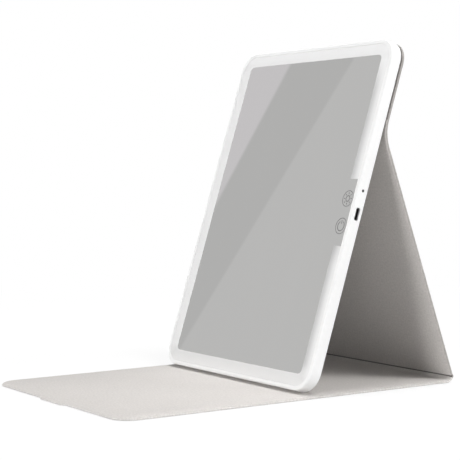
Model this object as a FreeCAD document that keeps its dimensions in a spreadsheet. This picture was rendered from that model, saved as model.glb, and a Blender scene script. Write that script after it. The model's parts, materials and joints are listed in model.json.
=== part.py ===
import FreeCAD, Part
import math
import os
import re
import Sketcher

# Lighted makeup mirror on a folding fabric cover.
# Millimetres, +Z up. The glass faces -Y, and the origin lies under the middle of the standing object.

SIZES = (
    # Housing
    ("mirror_height", 248.0),
    ("mirror_width", 185.2),
    ("mirror_depth", 9.0),
    ("corner_radius", 15.0),
    ("front_round", 1.1),
    ("back_round", 2.0),
    ("rim_width", 3.0),
    ("shelf_width", 1.1),
    ("back_wall", 1.4),
    ("channel_width", 9.0),
    ("rib_thick", 1.2),
    ("fence_thick", 1.0),
    ("fence_height", 1.2),
    ("fence_gap", 0.3),
    ("cut_overrun", 1.0),
    # Glass, silvering and light band
    ("glass_thick", 2.0),
    ("glass_recess", 0.3),
    ("glass_gap", 0.15),
    ("glass_chamfer", 0.35),
    ("silver_thick", 0.1),
    ("silver_inset", 11.3),
    ("silver_radius", 4.0),
    ("tape_thick", 0.3),
    ("tape_width", 2.0),
    ("diffuser_thick", 1.6),
    ("diffuser_gap", 0.25),
    ("bay_length", 46.0),
    # LED board
    ("led_board_thick", 0.8),
    ("led_board_width", 6.0),
    ("led_board_gap", 0.5),
    ("led_length", 3.5),
    ("led_width", 2.8),
    ("led_height", 0.8),
    ("led_pitch", 12.0),
    ("led_end_margin", 6.0),
    ("terminal_length", 3.0),
    ("terminal_width", 4.0),
    ("terminal_height", 1.7),
    ("lead_diameter", 0.9),
    ("lead_spacing", 1.6),
    ("lead_inset", 8.6),
    ("lead_landing", 3.0),
    ("lead_clearance", 1.15),
    # Main board and what it carries
    ("board_width", 30.0),
    ("board_height", 42.0),
    ("board_plate_thick", 0.8),
    ("board_corner", 1.0),
    ("board_gap", 0.3),
    ("pin_diameter", 2.0),
    ("pin_hole_gap", 0.1),
    ("pin_margin", 2.6),
    ("pin_span", 14.5),
    ("pin_reach", 0.8),
    ("collar_diameter", 4.0),
    ("controller_side", 7.0),
    ("controller_thick", 0.9),
    ("charger_side", 4.0),
    ("coil_side", 5.0),
    ("coil_thick", 2.6),
    ("plug_width", 4.0),
    ("plug_length", 6.5),
    ("plug_thick", 2.4),
    ("chip_inset", 14.0),
    ("chip_spacing", 9.5),
    ("touch_diameter", 6.0),
    ("touch_inset", 8.8),
    ("touch_spacing", 19.3),
    # Charging socket and indicator
    ("port_level", 4.6),
    ("usb_width", 8.94),
    ("usb_height", 3.26),
    ("usb_round", 1.3),
    ("usb_length", 7.35),
    ("usb_shell_thick", 0.3),
    ("usb_setback", 0.8),
    ("usb_gap", 0.12),
    ("tongue_width", 6.7),
    ("tongue_thick", 0.7),
    ("tongue_reach", 4.4),
    ("tongue_base", 1.6),
    ("indicator_rise", 16.4),
    ("indicator_diameter", 2.2),
    ("pipe_gap", 0.1),
    ("pipe_setback", 0.3),
    ("pipe_flange", 0.4),
    ("pipe_flange_length", 0.8),
    ("signal_led_width", 3.0),
    ("signal_led_depth", 1.6),
    ("signal_led_gap", 0.2),
    # Battery and magnets
    ("battery_width", 100.0),
    ("battery_height", 70.0),
    ("battery_thick", 3.8),
    ("battery_bevel", 1.0),
    ("battery_corner", 2.5),
    ("battery_shift", 10.0),
    ("battery_tape_thick", 0.2),
    ("battery_tape_inset", 8.0),
    ("battery_foam_inset", 12.0),
    ("magnet_length", 20.0),
    ("magnet_width", 8.0),
    ("magnet_thick", 3.0),
    ("magnet_drop", 32.0),
    ("magnet_spread", 44.0),
    # Fabric cover
    ("skin_thick", 0.6),
    ("board_thick", 1.0),
    ("lining_thick", 0.5),
    ("cover_overhang", 0.1),
    ("hem_width", 2.0),
    ("hem_gap", 0.15),
    ("panel_glue_thick", 0.2),
    ("panel_glue_inset", 2.5),
    ("flap_overlap", 4.5),
    ("tab_width", 36.0),
    ("tab_tip_width", 29.0),
    ("tab_reach", 2.4),
    ("spine_run", 11.0),
    ("crease_gap", 1.4),
    ("crease_radius", 1.0),
    ("fold_setback", 10.0),
    ("upper_length", 55.5),
    # Standing pose
    ("lean_angle", 18.3),
    ("stand_clearance", 0.25),
)

# Values that follow from the sizes. The mirror, the strut and the flap make an isosceles tent: the
# fold line is as far from the housing's rounded lower back edge as it is from the rear crease.
DERIVED = (
    ("cover_thick", "skin_thick + board_thick + lining_thick"),
    ("cover_width", "mirror_width + 2 * cover_overhang"),
    ("flap_length", "mirror_height + flap_overlap"),
    ("upper_start", "mirror_height + cover_overhang - upper_length"),
    ("fold_height", "upper_start - fold_setback"),
    ("glass_level", "mirror_depth - glass_recess - glass_thick"),
    ("silver_level", "glass_level - silver_thick"),
    ("seat_level", "glass_level - tape_thick - diffuser_thick"),
    ("cavity_inset", "rim_width + shelf_width"),
    ("rib_inset", "cavity_inset + channel_width"),
    ("glass_inset", "rim_width + glass_gap"),
    ("board_level", "port_level - usb_height / 2"),
    ("board_right", "mirror_width / 2 - cavity_inset - board_gap"),
    ("battery_level", "back_wall + battery_tape_thick"),
    ("board_left", "board_right - board_width"),
    ("lead_level", "board_level + lead_diameter / 2"),
    ("led_bay", "bay_length + 2 * (rib_thick + led_board_gap)"),
    ("led_inset", "cavity_inset + led_board_gap"),
    ("fold_offset", "panel_glue_thick + cover_thick / 2"),
    ("edge_angle", "atan((fold_offset + back_round) / (fold_height - back_round)) / 1 deg"),
    ("half_angle", "lean_angle + edge_angle"),
    ("leg_length", "sqrt((fold_offset + back_round)^2 + (fold_height - back_round)^2)"),
    ("stand_base", "2 * leg_length * sin(half_angle)"),
    ("crease_level", "cover_thick + back_round + stand_clearance"),
    ("spine_angle", "2 * atan((crease_level - cover_thick / 2) / spine_run) / 1 deg"),
    ("spine_radius", "spine_run / sin(spine_angle)"),
    ("crease_y", "(flap_length + spine_run + tab_reach - crease_radius) / 2"),
    ("spine_y", "crease_y - spine_run"),
    ("mirror_y", "crease_y - stand_base + back_round * (cos(lean_angle) - sin(lean_angle))"),
    ("mirror_z", "crease_level - back_round * (cos(lean_angle) + sin(lean_angle))"),
    ("bend_angle", "lean_angle + half_angle"),
    ("bend_radius", "fold_setback / tan(bend_angle / 2)"),
)

LEVEL_TOLERANCE = 1e-6

doc = FreeCAD.newDocument("LightedMirror")
sheet = doc.addObject("Spreadsheet::Sheet", "Sizes")
for row, (alias, size) in enumerate(SIZES, start=1):
    sheet.set(f"A{row}", str(size))
    sheet.setAlias(f"A{row}", alias)
OWNERS = {alias: f"Sizes.{alias}" for alias, size in SIZES}
doc.recompute()


def sized(text):
    """An expression with its plain names written as cells of the sheet or derived values."""
    return re.sub(r"[a-z][a-z_0-9]*", lambda word: OWNERS.get(word.group(), word.group()), text)


def value(text):
    """The number that an expression gives now."""
    return float(sheet.evalExpression(sized(text)))


def bind(feature, prop, text):
    """Tie a property to an expression in named sizes."""
    feature.setExpression(prop, sized(text))


derived = doc.addObject("App::VarSet", "Derived")
for alias, text in DERIVED:
    derived.addProperty("App::PropertyFloat", alias)
    bind(derived, alias, text)
    OWNERS[alias] = f"Derived.{alias}"
    doc.recompute()

# Each frame is the height and depth of its origin and its turn about X, as expressions.
MIRROR = ("mirror_y", "mirror_z", "90 - lean_angle")
STRUT = ("crease_y", "crease_level", "90 + half_angle")
FLAP = ("spine_y", "cover_thick / 2 + spine_radius", "0")

NODES = []


def place(feature, frame, x="0", y="0", z="0"):
    """Put a sub-part at a point of a frame, turned with the frame."""
    base_y, base_z, angle = frame
    feature.Placement = FreeCAD.Placement(
        FreeCAD.Vector(), FreeCAD.Rotation(FreeCAD.Vector(1, 0, 0), value(angle)))
    bind(feature, "Placement.Base.x", x)
    bind(feature, "Placement.Base.y", f"{base_y} + ({y}) * cos({angle}) - ({z}) * sin({angle})")
    bind(feature, "Placement.Base.z", f"{base_z} + ({y}) * sin({angle}) + ({z}) * cos({angle})")
    if angle != "0":
        bind(feature, "Placement.Rotation.Angle", angle)


def node(feature, frame, x="0", y="0", z="0"):
    """Place a finished sub-part and list it for writing."""
    place(feature, frame, x, y, z)
    NODES.append(feature)
    return feature


def new_body(label):
    body = doc.addObject("PartDesign::Body", label)
    body.Label = label
    return body


def new_sketch(body, plane="XY_Plane", level="0"):
    """A sketch on one of the body's own planes, lifted along the plane's normal."""
    sketch = body.newObject("Sketcher::SketchObject", f"{body.Label}_sketch")
    support = next(item for item in body.Origin.OriginFeatures if item.Role == plane)
    sketch.AttachmentSupport = [(support, "")]
    sketch.MapMode = "FlatFace"
    bind(sketch, "AttachmentOffset.Base.z", level)
    return sketch


def limit(sketch, kind, *ends, size):
    """Add a driving dimension to a sketch and tie it to an expression."""
    index = sketch.addConstraint(Sketcher.Constraint(kind, *ends, value(size)))
    bind(sketch, f"Constraints[{index}]", size)


def line(sketch, start, end):
    return sketch.addGeometry(Part.LineSegment(FreeCAD.Vector(*start, 0), FreeCAD.Vector(*end, 0)), False)


def corner_arc(sketch, centre, radius, first_angle):
    """A quarter circle that starts at an angle in degrees and runs anticlockwise."""
    circle = Part.Circle(FreeCAD.Vector(*centre, 0), FreeCAD.Vector(0, 0, 1), radius)
    start = math.radians(first_angle)
    return sketch.addGeometry(Part.ArcOfCircle(circle, start, start + math.pi / 2), False)


def closed_run(sketch, run):
    """Join each piece of an outline to the next, smoothly where one of the two is an arc."""
    for here, after in zip(run, run[1:] + run[:1]):
        straight = all(type(sketch.Geometry[i]) is Part.LineSegment for i in (here, after))
        sketch.addConstraint(Sketcher.Constraint("Coincident" if straight else "Tangent", here, 2, after, 1))


def square(sketch, level_lines, upright_lines):
    for kind, members in (("Horizontal", level_lines), ("Vertical", upright_lines)):
        for member in members:
            sketch.addConstraint(Sketcher.Constraint(kind, member))


def rectangle(sketch, width, height, x="0", y="0"):
    """A rectangle about the point x, y."""
    left, right = value(f"{x} - ({width}) / 2"), value(f"{x} + ({width}) / 2")
    low, high = value(f"{y} - ({height}) / 2"), value(f"{y} + ({height}) / 2")
    corners = ((left, low), (right, low), (right, high), (left, high))
    bottom, far, top, near = [line(sketch, corners[i], corners[(i + 1) % 4]) for i in range(4)]
    closed_run(sketch, [bottom, far, top, near])
    square(sketch, (bottom, top), (far, near))
    limit(sketch, "DistanceX", bottom, 1, bottom, 2, size=width)
    limit(sketch, "DistanceY", far, 1, far, 2, size=height)
    limit(sketch, "DistanceX", -1, 1, bottom, 1, size=f"{x} - ({width}) / 2")
    limit(sketch, "DistanceY", -1, 1, bottom, 1, size=f"{y} - ({height}) / 2")


def rounded_rectangle(sketch, width, height, radius, x="0", y="0"):
    """A rectangle with four equal round corners about the point x, y."""
    left, right = value(f"{x} - ({width}) / 2"), value(f"{x} + ({width}) / 2")
    low, high = value(f"{y} - ({height}) / 2"), value(f"{y} + ({height}) / 2")
    r = value(radius)
    bottom = line(sketch, (left + r, low), (right - r, low))
    low_right = corner_arc(sketch, (right - r, low + r), r, -90)
    far = line(sketch, (right, low + r), (right, high - r))
    high_right = corner_arc(sketch, (right - r, high - r), r, 0)
    top = line(sketch, (right - r, high), (left + r, high))
    high_left = corner_arc(sketch, (left + r, high - r), r, 90)
    near = line(sketch, (left, high - r), (left, low + r))
    low_left = corner_arc(sketch, (left + r, low + r), r, 180)
    closed_run(sketch, [bottom, low_right, far, high_right, top, high_left, near, low_left])
    square(sketch, (bottom, top), (far, near))
    for other in (high_right, high_left, low_left):
        sketch.addConstraint(Sketcher.Constraint("Equal", low_right, other))
    limit(sketch, "Radius", low_right, size=radius)
    limit(sketch, "DistanceX", near, 2, far, 1, size=width)
    limit(sketch, "DistanceY", bottom, 1, top, 2, size=height)
    limit(sketch, "DistanceX", -1, 1, near, 2, size=f"{x} - ({width}) / 2")
    limit(sketch, "DistanceY", -1, 1, bottom, 1, size=f"{y} - ({height}) / 2")


def tongue_outline(sketch, width, start, length, radius, downwards=False):
    """A panel with a square end at start and round corners at its other end."""
    half = value(f"({width}) / 2")
    way = -1 if downwards else 1
    near_y = value(start)
    far_y = near_y + way * value(length)
    r = value(radius)
    inner_y = far_y - way * r
    if downwards:
        first = line(sketch, (half, near_y), (-half, near_y))
        side_a = line(sketch, (-half, near_y), (-half, inner_y))
        arc_a = corner_arc(sketch, (-half + r, inner_y), r, 180)
        end = line(sketch, (-half + r, far_y), (half - r, far_y))
        arc_b = corner_arc(sketch, (half - r, inner_y), r, 270)
        side_b = line(sketch, (half, inner_y), (half, near_y))
    else:
        first = line(sketch, (-half, near_y), (half, near_y))
        side_a = line(sketch, (half, near_y), (half, inner_y))
        arc_a = corner_arc(sketch, (half - r, inner_y), r, 0)
        end = line(sketch, (half - r, far_y), (-half + r, far_y))
        arc_b = corner_arc(sketch, (-half + r, inner_y), r, 90)
        side_b = line(sketch, (-half, inner_y), (-half, near_y))
    closed_run(sketch, [first, side_a, arc_a, end, arc_b, side_b])
    square(sketch, (end,), (side_a, side_b))
    sketch.addConstraint(Sketcher.Constraint("Equal", arc_a, arc_b))
    sketch.addConstraint(Sketcher.Constraint("Symmetric", first, 1, first, 2, -2))
    limit(sketch, "Radius", arc_a, size=radius)
    limit(sketch, "DistanceX", first, 2 if downwards else 1, first, 1 if downwards else 2, size=width)
    limit(sketch, "DistanceY", -1, 1, first, 1, size=start)
    limit(sketch, "DistanceY", first, 1, end, 1, size=f"{'-' if downwards else ''}({length})")


def circle(sketch, diameter, x="0", y="0"):
    centre = FreeCAD.Vector(value(x), value(y), 0)
    ring = sketch.addGeometry(Part.Circle(centre, FreeCAD.Vector(0, 0, 1), value(diameter) / 2), False)
    limit(sketch, "Diameter", ring, size=diameter)
    limit(sketch, "DistanceX", -1, 1, ring, 3, size=x)
    limit(sketch, "DistanceY", -1, 1, ring, 3, size=y)


def pad(body, sketch, length, backwards=False):
    feature = body.newObject("PartDesign::Pad", f"{body.Label}_pad")
    feature.Profile = sketch
    feature.Reversed = backwards
    bind(feature, "Length", length)
    doc.recompute()
    return feature


def pocket(body, sketch, depth):
    """Cut a sketch against its plane's normal, and make sure that it cuts something."""
    before = body.Shape.Volume
    feature = body.newObject("PartDesign::Pocket", f"{body.Label}_pocket")
    feature.Profile = sketch
    bind(feature, "Length", depth)
    doc.recompute()
    if body.Shape.Volume >= before:
        raise RuntimeError(f"a pocket of {body.Label} cuts nothing")
    return feature


def revolve(body, sketch, angle):
    """Turn a sketch about the X axis of its body."""
    feature = body.newObject("PartDesign::Revolution", f"{body.Label}_turn")
    feature.Profile = sketch
    feature.ReferenceAxis = (sketch, ["H_Axis"])
    bind(feature, "Angle", angle)
    doc.recompute()
    return feature


def edges_at(feature, level):
    """The names of a feature's edges that lie flat at a height."""
    names = []
    for number, edge in enumerate(feature.Shape.Edges, start=1):
        box = edge.BoundBox
        if max(abs(box.ZMin - level), abs(box.ZMax - level)) < LEVEL_TOLERANCE:
            names.append(f"Edge{number}")
    return names


def round_edges(body, base, level, radius):
    feature = body.newObject("PartDesign::Fillet", f"{body.Label}_round")
    feature.Base = (base, edges_at(base, value(level)))
    bind(feature, "Radius", radius)
    doc.recompute()
    return feature


def chamfer_edges(body, base, level, size):
    feature = body.newObject("PartDesign::Chamfer", f"{body.Label}_chamfer")
    feature.Base = (base, edges_at(base, value(level)))
    bind(feature, "Size", size)
    doc.recompute()
    return feature


def face_outline(sketch, inset, radius=None):
    """The housing's rounded front outline, drawn in by an inset."""
    rounded_rectangle(sketch, f"mirror_width - 2 * ({inset})", f"mirror_height - 2 * ({inset})",
                      radius or f"corner_radius - ({inset})", y="mirror_height / 2")


def touch_bay(body, level, depth, inner, outer, length="bay_length"):
    """Break a ring open beside the touch signs, between two insets from the housing's edge."""
    sketch = new_sketch(body, level=level)
    rectangle(sketch, f"({inner}) - ({outer})", length,
              x=f"mirror_width / 2 - (({inner}) + ({outer})) / 2", y="mirror_height / 2")
    pocket(body, sketch, depth)


def block(size, corner):
    """One plain block of a group, from its lowest corner."""
    piece = doc.addObject("Part::Box", "block")
    for prop, text in zip(("Length", "Width", "Height"), size):
        bind(piece, prop, text)
    for axis, text in zip("xyz", corner):
        bind(piece, f"Placement.Base.{axis}", text)
    return piece


def rod(diameter, length, start, along):
    """One round bar of a group, from its start along X, Y or Z."""
    piece = doc.addObject("Part::Cylinder", "rod")
    turns = {"x": ((0, 1, 0), 90), "y": ((1, 0, 0), -90), "z": ((0, 0, 1), 0)}
    axis, angle = turns[along]
    piece.Placement = FreeCAD.Placement(
        FreeCAD.Vector(), FreeCAD.Rotation(FreeCAD.Vector(*axis), angle))
    bind(piece, "Radius", f"({diameter}) / 2")
    bind(piece, "Height", length)
    for name, text in zip("xyz", start):
        bind(piece, f"Placement.Base.{name}", text)
    return piece


def group(label, members, frame):
    """Like pieces that share one node."""
    compound = doc.addObject("Part::Compound", label)
    compound.Label = label
    compound.Links = members
    doc.recompute()
    return node(compound, frame)


def fence(body, width, height, x, y):
    """A low square rib on the tray's floor round a piece that is laid in it."""
    sketch = new_sketch(body, level="back_wall")
    for grow in ("fence_gap", "fence_gap + fence_thick"):
        rectangle(sketch, f"{width} + 2 * ({grow})", f"{height} + 2 * ({grow})", x, y)
    pad(body, sketch, "fence_height")


def pin_circles(sketch, diameter):
    """Four circles at the main board's fixing holes."""
    for x in ("board_left + pin_margin", "board_left + pin_margin + pin_span"):
        for side in ("+", "-"):
            circle(sketch, diameter, x, f"mirror_height / 2 {side} (board_height / 2 - pin_margin)")


def rear_shell():
    """The moulded tray: rounded walls, a stepped seat for diffuser and glass, and inner ribs."""
    body = new_body("rear_shell")
    outline = new_sketch(body)
    face_outline(outline, "0", "corner_radius")
    solid = pad(body, outline, "mirror_depth")
    solid = round_edges(body, solid, "0", "back_round")
    round_edges(body, solid, "mirror_depth", "front_round")

    seat = new_sketch(body, level="mirror_depth")
    face_outline(seat, "rim_width")
    pocket(body, seat, "mirror_depth - seat_level")
    cavity = new_sketch(body, level="seat_level")
    face_outline(cavity, "cavity_inset")
    pocket(body, cavity, "seat_level - back_wall")

    light_wall = new_sketch(body, level="back_wall")
    face_outline(light_wall, "rib_inset", "silver_radius")
    face_outline(light_wall, "rib_inset + rib_thick", "silver_radius - rib_thick")
    pad(body, light_wall, "seat_level - back_wall")
    touch_bay(body, "seat_level", "seat_level - back_wall", "rib_inset + rib_thick + cut_overrun",
              "cavity_inset")
    end_wall_reach = "(lead_inset - (lead_spacing + lead_diameter) / 2 - lead_clearance - rim_width)"
    for side in ("+", "-"):
        end_wall = new_sketch(body, level="back_wall")
        rectangle(end_wall, end_wall_reach, "rib_thick",
                  x=f"mirror_width / 2 - rim_width - {end_wall_reach} / 2",
                  y=f"mirror_height / 2 {side} (bay_length + rib_thick) / 2")
        pad(body, end_wall, "seat_level - back_wall")

    fence(body, "battery_width", "battery_height", "-battery_shift", "mirror_height / 2")
    for side in ("", "-"):
        fence(body, "magnet_length", "magnet_width", f"{side}magnet_spread", "mirror_height - magnet_drop")

    collars = new_sketch(body, level="back_wall")
    pin_circles(collars, "collar_diameter")
    pad(body, collars, "board_level - board_plate_thick - back_wall")
    pins = new_sketch(body, level="back_wall")
    pin_circles(pins, "pin_diameter")
    pad(body, pins, "board_level + pin_reach - back_wall")

    through_wall = "cavity_inset + 2 * cut_overrun"
    port = new_sketch(body, "YZ_Plane", "mirror_width / 2 + cut_overrun")
    rounded_rectangle(port, "usb_width + 2 * usb_gap", "usb_height + 2 * usb_gap", "usb_round + usb_gap",
                      "mirror_height / 2", "port_level")
    pocket(body, port, through_wall)
    window = new_sketch(body, "YZ_Plane", "mirror_width / 2 + cut_overrun")
    circle(window, "indicator_diameter", "mirror_height / 2 + indicator_rise", "port_level")
    pocket(body, window, through_wall)
    node(body, MIRROR)


def mirror_glass():
    """The float glass pane, with its front edges ground off."""
    body = new_body("mirror_glass")
    sketch = new_sketch(body, level="glass_level")
    face_outline(sketch, "glass_inset")
    pane = pad(body, sketch, "glass_thick")
    chamfer_edges(body, pane, "glass_level + glass_thick", "glass_chamfer")
    node(body, MIRROR)


def mirror_silver():
    """The silvering on the pane's back, which runs out to the rim behind the touch signs."""
    body = new_body("mirror_silver")
    middle = new_sketch(body, level="silver_level")
    face_outline(middle, "silver_inset", "silver_radius")
    pad(body, middle, "silver_thick")
    bay = new_sketch(body, level="silver_level")
    outer = "(glass_inset + glass_chamfer)"
    reach = f"(silver_inset - {outer} + silver_radius)"
    rectangle(bay, reach, "bay_length - 2 * diffuser_gap", x=f"mirror_width / 2 - {outer} - {reach} / 2",
              y="mirror_height / 2")
    pad(body, bay, "silver_thick")
    node(body, MIRROR)


def ring(label, level, thick, outer, inner, length, outer_radius=None, inner_radius=None):
    """A flat frame round the mirror, open beside the touch signs."""
    body = new_body(label)
    sketch = new_sketch(body, level=level)
    face_outline(sketch, outer, outer_radius)
    face_outline(sketch, inner, inner_radius)
    pad(body, sketch, thick)
    touch_bay(body, f"{level} + {thick}", thick, f"{inner} + cut_overrun", "0", length)
    node(body, MIRROR)


def light_parts():
    """What makes and spreads the light: tape, diffuser, LED board, LEDs and their terminals."""
    ring("glass_tape", "glass_level - tape_thick", "tape_thick", "glass_inset + diffuser_gap",
         "glass_inset + diffuser_gap + tape_width", "bay_length")
    ring("light_diffuser", "seat_level", "diffuser_thick", "rim_width + diffuser_gap",
         "rib_inset + rib_thick", "bay_length", inner_radius="silver_radius - rib_thick")
    ring("led_board", "back_wall", "led_board_thick", "led_inset", "led_inset + led_board_width", "led_bay")

    leds = doc.addObject("Part::Feature", "leds")
    leds.Label = "leds"
    leds.Shape = Part.makeCompound(led_rows())
    node(leds, MIRROR, z="back_wall + led_board_thick")

    terminal_end = "led_bay / 2"
    terminals = []
    leads = []
    for start, end in ((terminal_end, "board_height / 2 - lead_landing"),
                       (f"-{terminal_end} - terminal_length", f"-{terminal_end}")):
        terminals.append(block(
            ("terminal_width", "terminal_length", "terminal_height"),
            ("mirror_width / 2 - lead_inset - terminal_width / 2", f"mirror_height / 2 + {start}",
             "back_wall + led_board_thick")))
        for side in ("+", "-"):
            leads.append(rod(
                "lead_diameter", f"{terminal_end} - board_height / 2 + lead_landing",
                (f"mirror_width / 2 - lead_inset {side} lead_spacing / 2", f"mirror_height / 2 + {end}",
                 "lead_level"), "y"))
    group("led_terminals", terminals, MIRROR)
    group("led_leads", leads, MIRROR)


def led_rows():
    """LED packages at an even pitch along the four sides of their board, clear of its open end."""
    width, height = value("mirror_width"), value("mirror_height")
    inset = value("led_inset + led_board_width / 2")
    clear = value("corner_radius")
    bay_low = value("mirror_height / 2 - led_bay / 2 - led_end_margin")
    bay_high = value("mirror_height / 2 + led_bay / 2 + led_end_margin")
    pitch = value("led_pitch")
    long, short, tall = value("led_length"), value("led_width"), value("led_height")
    upright = [(inset - width / 2, clear, height - clear),
               (width / 2 - inset, clear, bay_low),
               (width / 2 - inset, bay_high, height - clear)]
    level = [(inset, clear - width / 2, width / 2 - clear),
             (height - inset, clear - width / 2, width / 2 - clear)]
    packages = []
    for fixed, first, last in upright + level:
        steps = int((last - first) // pitch)
        offset = (last - first - steps * pitch) / 2
        for step in range(steps + 1):
            along = first + offset + step * pitch
            if (fixed, first, last) in upright:
                corner = FreeCAD.Vector(fixed - short / 2, along - long / 2, 0)
                packages.append(Part.makeBox(short, long, tall, corner))
            else:
                corner = FreeCAD.Vector(along - long / 2, fixed - short / 2, 0)
                packages.append(Part.makeBox(long, short, tall, corner))
    return packages


def main_board():
    """The control board on its four heat-staked pins, with what is soldered to it."""
    body = new_body("main_board")
    sketch = new_sketch(body, level="board_level - board_plate_thick")
    rounded_rectangle(sketch, "board_width", "board_height", "board_corner",
                      "board_left + board_width / 2", "mirror_height / 2")
    pin_circles(sketch, "pin_diameter + 2 * pin_hole_gap")
    pad(body, sketch, "board_plate_thick")
    node(body, MIRROR)

    chips = []
    for side, thick, rise in (("controller_side", "controller_thick", "0"),
                              ("charger_side", "controller_thick", "chip_spacing"),
                              ("coil_side", "coil_thick", "-chip_spacing")):
        chips.append(block((side, side, thick),
                           (f"board_right - chip_inset - {side} / 2",
                            f"mirror_height / 2 + {rise} - {side} / 2", "board_level")))
    chips.append(block(("plug_width", "plug_length", "plug_thick"),
                       ("board_left + board_corner", "mirror_height / 2 - plug_length / 2", "board_level")))
    group("board_chips", chips, MIRROR)

    signal = [block(("signal_led_depth", "signal_led_width", "port_level - board_level + signal_led_width / 2"),
                    ("mirror_width / 2 - cavity_inset - pipe_flange_length - signal_led_gap"
                     " - signal_led_depth",
                     "mirror_height / 2 + indicator_rise - signal_led_width / 2", "board_level"))]
    group("indicator_led", signal, MIRROR)

    pads = [rod("touch_diameter", "silver_level - board_level",
                ("mirror_width / 2 - touch_inset", f"mirror_height / 2 {side} touch_spacing / 2",
                 "board_level"), "z") for side in ("+", "-")]
    group("touch_pads", pads, MIRROR)


def charging_socket():
    """The socket's drawn shell and the tongue inside it, facing out through the wall."""
    mouth = "mirror_width / 2 - usb_setback"
    place_y, place_z = "mirror_height / 2", "port_level"
    shell = new_body("usb_shell")
    outside = new_sketch(shell, "YZ_Plane", mouth)
    rounded_rectangle(outside, "usb_width", "usb_height", "usb_round", place_y, place_z)
    pad(shell, outside, "usb_length", backwards=True)
    inside = new_sketch(shell, "YZ_Plane", mouth)
    rounded_rectangle(inside, "usb_width - 2 * usb_shell_thick", "usb_height - 2 * usb_shell_thick",
                      "usb_round - usb_shell_thick", place_y, place_z)
    pocket(shell, inside, "usb_length - usb_shell_thick")
    node(shell, MIRROR)

    tongue = new_body("usb_tongue")
    back = f"{mouth} - usb_length + usb_shell_thick"
    clear = "2 * (usb_shell_thick + usb_gap)"
    base = new_sketch(tongue, "YZ_Plane", back)
    rounded_rectangle(base, f"usb_width - {clear}", f"usb_height - {clear}",
                      "usb_round - usb_shell_thick - usb_gap", place_y, place_z)
    pad(tongue, base, "tongue_base")
    blade = new_sketch(tongue, "YZ_Plane", f"{back} + tongue_base")
    rectangle(blade, "tongue_width", "tongue_thick", place_y, place_z)
    pad(tongue, blade, "tongue_reach")
    node(tongue, MIRROR)


def light_pipe():
    """The clear rod that carries the indicator's light out through the wall."""
    body = new_body("light_pipe")
    spot = ("mirror_height / 2 + indicator_rise", "port_level")
    stem = new_sketch(body, "YZ_Plane", "mirror_width / 2 - pipe_setback")
    circle(stem, "indicator_diameter - 2 * pipe_gap", *spot)
    pad(body, stem, "cavity_inset - pipe_setback", backwards=True)
    flange = new_sketch(body, "YZ_Plane", "mirror_width / 2 - cavity_inset")
    circle(flange, "indicator_diameter + 2 * pipe_flange", *spot)
    pad(body, flange, "pipe_flange_length", backwards=True)
    node(body, MIRROR)


def battery_sheet(label, inset, level, thick):
    """A flat sheet as wide as the battery less an inset all round."""
    body = new_body(label)
    sketch = new_sketch(body, level=level)
    rounded_rectangle(sketch, f"battery_width - 2 * {inset}", f"battery_height - 2 * {inset}",
                      "battery_corner", "-battery_shift", "mirror_height / 2")
    pad(body, sketch, thick)
    node(body, MIRROR)


def battery():
    """The pouch cell, the tape under it, the foam over it and its two leads."""
    body = new_body("battery")
    sketch = new_sketch(body, level="battery_level")
    rounded_rectangle(sketch, "battery_width", "battery_height", "battery_corner", "-battery_shift",
                      "mirror_height / 2")
    cell = pad(body, sketch, "battery_thick")
    cell = chamfer_edges(body, cell, "battery_level", "battery_bevel")
    chamfer_edges(body, cell, "battery_level + battery_thick", "battery_bevel")
    node(body, MIRROR)
    top = "battery_level + battery_thick"
    battery_sheet("battery_tape", "battery_tape_inset", "back_wall", "battery_tape_thick")
    battery_sheet("battery_foam", "battery_foam_inset", top, f"silver_level - ({top})")
    edge = "battery_width / 2 - battery_shift"
    leads = [rod("lead_diameter", f"board_left + board_corner - ({edge})",
                 (edge, f"mirror_height / 2 {side} lead_spacing", "battery_level + battery_thick / 2"), "x")
             for side in ("+", "-")]
    group("battery_leads", leads, MIRROR)


def magnets():
    """The closing magnets: two on the tray's floor and two let into the flap's board."""
    inner = []
    outer = []
    for side in ("", "-"):
        left = f"{side}magnet_spread - magnet_length / 2"
        inner.append(block(("magnet_length", "magnet_width", "magnet_thick"),
                           (left, "mirror_height - magnet_drop - magnet_width / 2", "back_wall")))
        outer.append(block(("magnet_length", "magnet_width", "board_thick"),
                           (left, "magnet_drop - flap_length - magnet_width / 2",
                            "skin_thick - spine_radius - cover_thick / 2")))
    group("housing_magnets", inner, MIRROR)
    group("flap_magnets", outer, FLAP)


class Panel:
    """One stiff panel of the cover: an outer skin hemmed round a board, and a lining over both."""

    def __init__(self, name, frame, level, start, length, radius=None, downwards=False):
        self.name = name
        self.frame = frame
        self.level = level
        self.start = start
        self.length = length
        self.radius = radius
        self.downwards = downwards
        self.skin = new_body(f"{name}_skin")
        self.board = new_body(f"{name}_board")
        self.lining = new_body(f"{name}_lining")
        self.layers()

    def outline(self, sketch, inset):
        width = f"cover_width - 2 * ({inset})"
        length = f"({self.length}) - 2 * ({inset})"
        if self.radius is None:
            rectangle(sketch, width, length, y=f"{self.start} + ({self.length}) / 2")
        else:
            start = f"{self.start} {'-' if self.downwards else '+'} ({inset})"
            tongue_outline(sketch, width, start, length, f"{self.radius} - ({inset})", self.downwards)

    def layers(self):
        board_top = f"{self.level} + skin_thick + board_thick"
        whole = new_sketch(self.skin, level=self.level)
        self.outline(whole, "0")
        pad(self.skin, whole, "skin_thick + board_thick")
        recess = new_sketch(self.skin, level=board_top)
        self.outline(recess, "hem_width")
        pocket(self.skin, recess, "board_thick")

        stiffener = new_sketch(self.board, level=f"{self.level} + skin_thick")
        self.outline(stiffener, "hem_width + hem_gap")
        pad(self.board, stiffener, "board_thick")

        inner = new_sketch(self.lining, level=board_top)
        self.outline(inner, "0")
        pad(self.lining, inner, "lining_thick")

    def finish(self):
        for body in (self.skin, self.board, self.lining):
            node(body, self.frame)


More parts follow.
